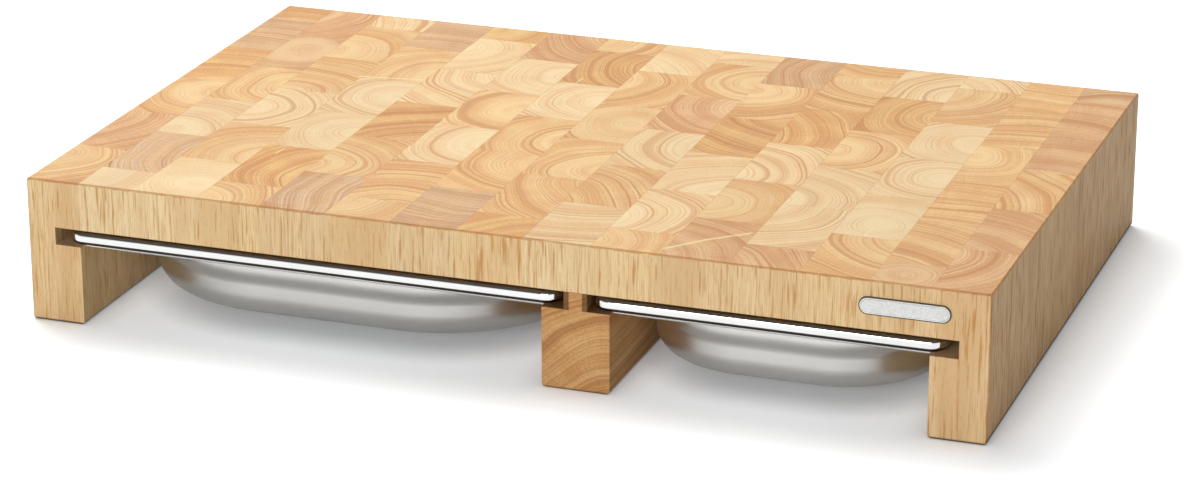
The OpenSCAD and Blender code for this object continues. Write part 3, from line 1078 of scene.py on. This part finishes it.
def make_badge():
    low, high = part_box("badge_plate")
    middle = (low + high) / 2
    shape, field = plate_blank(high - low)
    for face in shape.faces:
        face.material_index = 1
    for index, (width, depth) in enumerate((
        (FOOT_WIDTH, 0), (STEEP, STEP_HEIGHT), (BORDER_WIDTH, 0), (SLOPING, -STEP_HEIGHT)
    )):
        bmesh.ops.inset_region(
            shape, faces=[field], thickness=width, depth=depth, use_even_offset=True
        )
        if index == 0:
            field.material_index = 0
    bmesh.ops.translate(shape, vec=(middle.x, high.y, middle.z), verts=shape.verts[:])
    bmesh.ops.recalc_face_normals(shape, faces=shape.faces[:])
    metals = [
        cast_metal("badge_metal", "#bbbab6", "#e6e5e2"),
        # painted shade: the dark foot stands for the shadow round the plate's edge
        cast_metal("badge_outline_shade", "#3c3833", "#5a554f"),
    ]
    piece = finish_piece("bare_badge_plate", shape, metals, "board", 25)
    soft = piece.modifiers.new("soft edges", "BEVEL")
    soft.width, soft.segments, soft.limit_method = 0.1 * MM, 3, "ANGLE"
    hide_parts("badge_plate")
    return piece


badge = make_badge()
print("badge plate:", len(badge.data.polygons), "faces")

# %% [markdown]
# ## The worktop
# The set is a white worktop under soft light. The floor shows white to the camera and in the
# steel, but gives back less light than that to the board, so it doesn't wash the colours out.
# Where it is seen directly, it also shines a little, more so away from the board. For the
# camera alone it shines by a fixed amount more, except close round a foot: that lifts the
# shadow under the board, which the lamps alone would leave darker than in the photograph.

# %% Floor
FLOOR_HALF = 6.0  # m from the middle to a side
FLOOR_GLOW = 0.19
GLOW_SPREAD = 0.15  # m from the board to where the glow is full
SHADOW_LIFT = 0.34
CORNER_REACH = 0.018  # m round a foot in which the shadow stays deep
FLOOR_SEEN, FLOOR_LIGHTING = (0.94, 0.965, 0.99, 1), (0.72, 0.72, 0.72, 1)


def seen_directly(tree):
    """1 for what the camera, a reflection or glass sees, and 0 for the light that a matt surface
    gathers, straight or by way of metal."""
    path = add_node(tree, "ShaderNodeLightPath").outputs
    first = maths(tree, "MAXIMUM", path["Is Camera Ray"], path["Is Glossy Ray"])
    first = maths(tree, "MAXIMUM", first, path["Is Transmission Ray"])
    return maths(tree, "SUBTRACT", first, path["Diffuse Depth"], clamp=True)


def floor_glow(tree, seen):
    """How strongly the floor shines: more with the distance from the board, and by a fixed
    amount for the camera, except in the corner where a leg stands."""
    x, y, _ = separated(tree, object_place(tree))
    past = [
        maths(tree, "MAXIMUM", maths(tree, "SUBTRACT", maths(tree, "ABSOLUTE", value), edge), 0.0)
        for value, edge in ((x, cad_high.x), (y, cad_high.y))
    ]
    away = vector_maths(tree, "LENGTH", combined(tree, *past), result=1)
    spread = smooth_step(tree, away, -0.05, GLOW_SPREAD)
    camera_ray = add_node(tree, "ShaderNodeLightPath").outputs["Is Camera Ray"]
    corner = add_node(
        tree, "ShaderNodeAmbientOcclusion", {"Distance": CORNER_REACH}, samples=8
    ).outputs["AO"]
    lift = maths(tree, "MULTIPLY", maths(tree, "MULTIPLY", camera_ray, corner), SHADOW_LIFT)
    return maths(tree, "MULTIPLY_ADD", maths(tree, "MULTIPLY", seen, spread), FLOOR_GLOW, lift)


def make_floor():
    shape = bmesh.new()
    bmesh.ops.create_grid(shape, x_segments=1, y_segments=1, size=FLOOR_HALF)
    mesh = bpy.data.meshes.new("floor")
    shape.to_mesh(mesh)
    shape.free()
    material = bpy.data.materials.new("white_worktop")
    material.use_nodes = True
    tree = material.node_tree
    tree.nodes.clear()
    seen = seen_directly(tree)
    colour = mix_colour(tree, seen, FLOOR_LIGHTING, FLOOR_SEEN)
    matt = add_node(tree, "ShaderNodeBsdfDiffuse", {"Color": colour})
    glow = add_node(tree, "ShaderNodeEmission", {"Strength": floor_glow(tree, seen)})
    both = add_node(tree, "ShaderNodeAddShader", {0: matt.outputs[0], 1: glow.outputs[0]})
    add_node(tree, "ShaderNodeOutputMaterial", {0: both.outputs[0]})
    mesh.materials.append(material)
    floor = bpy.data.objects.new("floor", mesh)
    bpy.context.scene.collection.objects.link(floor)
    return floor


floor = make_floor()
print("floor:", 2 * FLOOR_HALF, "m wide, glow", FLOOR_GLOW)

# %% [markdown]
# ## The room and the lamps
# Polished steel shows whatever stands round it. A white backdrop rises high behind the object.
# On the photographer's side only the worktop and a low band above it are white, and the room
# over that is dark: that gives the rims their dark bands. A large lamp behind the left shoulder
# of the board makes the soft shadow at its right, and a weak one at the front fills its face.

# %% World and lamps
AMBIENT = 0.23
FRONT_STARTS, ROOM = 0.24, 0.08  # how high the white reaches, and how bright it is above
BACKDROP_TOP, CEILING = 0.75, 0.5


def make_world():
    world = bpy.data.worlds.new("studio")
    world.use_nodes = True
    tree = world.node_tree
    tree.nodes.clear()
    _, back, up = separated(tree, add_node(tree, "ShaderNodeTexCoord").outputs["Generated"])
    behind = smooth_step(tree, back, -0.25, 0.35)
    starts = mix_value(tree, behind, FRONT_STARTS, BACKDROP_TOP)
    room = mix_value(tree, behind, ROOM, CEILING)
    white = smooth_step(tree, maths(tree, "SUBTRACT", up, starts), 0.12, 0.0)
    strength = mix_value(tree, seen_directly(tree), AMBIENT, mix_value(tree, white, room, 1.0))
    light = add_node(tree, "ShaderNodeBackground", {"Color": (1, 1, 1, 1), "Strength": strength})
    add_node(tree, "ShaderNodeOutputWorld", {0: light.outputs[0]})
    bpy.context.scene.world = world


def make_lamp(name, place, size, power):
    """A rectangular lamp that points at the middle of the board."""
    data = bpy.data.lights.new(name, "AREA")
    data.shape, data.size, data.size_y, data.energy = "RECTANGLE", size[0], size[1], power
    lamp = bpy.data.objects.new(name, data)
    lamp.location = place
    lamp.rotation_euler = (-Vector(place)).to_track_quat("-Z", "Y").to_euler()
    lamp.visible_camera = False
    bpy.context.scene.collection.objects.link(lamp)
    return lamp


make_world()
key = make_lamp("key", (-0.92, 0.92, 2.25), (1.6, 1.6), 52)
fill = make_lamp("fill", (0.16, -2.48, 0.76), (1.8, 0.7), 30)
bpy.context.scene.view_settings.view_transform = "Standard"
print("ambient", AMBIENT, "key", key.data.energy, "W, fill", fill.data.energy, "W")
